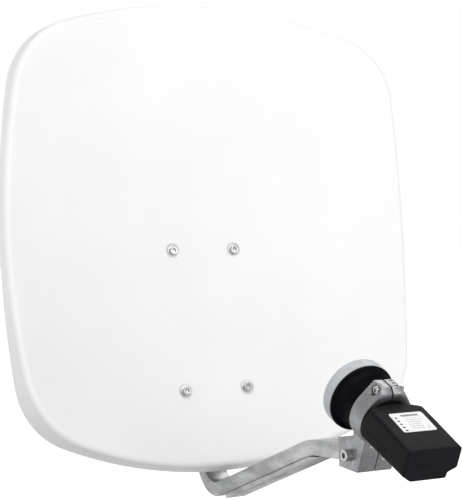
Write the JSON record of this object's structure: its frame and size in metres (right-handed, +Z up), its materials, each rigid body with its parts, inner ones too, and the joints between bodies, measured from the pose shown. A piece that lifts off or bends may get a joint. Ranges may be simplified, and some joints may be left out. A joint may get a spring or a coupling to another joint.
{
  "type": "satellite dish",
  "caption": "Offset parabolic satellite dish with a bent feed arm, clamped feed unit with a sliding weather cover, and a tilting mast clamp.",
  "frame": {"origin": "middle of the mast clamp, on the mast's axis", "axes": "+Z up along the mast, -Y the way the reflector faces, +X the viewer's right in front"},
  "size_m": [0.4572, 0.5622, 0.4978],
  "materials": {
    "reflector_paint": "white powder coat on pressed aluminium sheet",
    "cast_aluminium": "fine-grained die casting",
    "arm_aluminium": "mill-finish extrusion",
    "galvanised_steel": "hot-dip galvanised",
    "zinc_steel": "bright zinc plate",
    "stainless": "plain stainless steel",
    "housing_black": "fine-textured black plastic",
    "cap_plastic": "smooth light grey plastic",
    "horn_black": "black painted die casting",
    "seal_rubber": "soft black rubber",
    "circuit_board": "green solder mask",
    "brass_pin": "gilt brass",
    "nickel_plate": "bright nickel plate",
    "label_film": "plain white film label"
  },
  "bodies": {
    "mast_mount": {"mast_yoke": "cast_aluminium", "pivot_bolt": "zinc_steel", "pivot_washers": "zinc_steel", "pivot_nut": "zinc_steel", "lock_bolt": "zinc_steel", "lock_washers": "zinc_steel", "lock_nut": "zinc_steel", "mast_clamp_bolts": "zinc_steel"},
    "dish": {"reflector": "reflector_paint", "reflector_screws": "stainless", "reflector_washers": "stainless", "reflector_nuts": "zinc_steel", "rear_carrier": "galvanised_steel", "feed_arm": "arm_aluminium", "arm_bolts": "zinc_steel", "arm_nuts": "zinc_steel", "lnb_clamp_left": "cast_aluminium", "lnb_clamp_right": "cast_aluminium", "clamp_base_bolt": "stainless", "clamp_base_nut": "zinc_steel", "clamp_top_screw": "stainless", "clamp_top_nut": "zinc_steel"},
    "jaw": {"mast_jaw": "cast_aluminium", "mast_clamp_washers": "zinc_steel", "wing_nuts": "zinc_steel"},
    "lnb": {"feed_cap": "cap_plastic", "cap_seal": "seal_rubber", "feed_horn": "horn_black", "lnb_chassis": "cast_aluminium", "lnb_board": "circuit_board", "lnb_probes": "brass_pin", "lnb_upper_shell": "housing_black", "lnb_lower_shell": "housing_black", "shell_screws": "stainless", "f_connectors": "nickel_plate", "lnb_label": "label_film"},
    "weather_cover": {"weather_cover": "housing_black"}
  },
  "joints": [
    {"name": "elevation", "type": "hinge", "parent": "mast_mount", "child": "dish", "pos_m": [0, -0.066, 0.025], "axis": [-1, 0, 0], "range_deg": [-14, 20]},
    {"name": "jaw_slide", "type": "slide", "parent": "mast_mount", "child": "jaw", "axis": [0, 1, 0], "range_m": [-0.016, 0.016]},
    {"name": "lnb_skew", "type": "hinge", "parent": "dish", "child": "lnb", "pos_m": [0, -0.4227, -0.09127], "axis": [0, -0.9143, -0.4051], "range_deg": [-30, 30]},
    {"name": "cover_slide", "type": "slide", "parent": "lnb", "child": "weather_cover", "axis": [0, -0.9143, -0.4051], "range_m": [0, 0.026]}
  ]
}
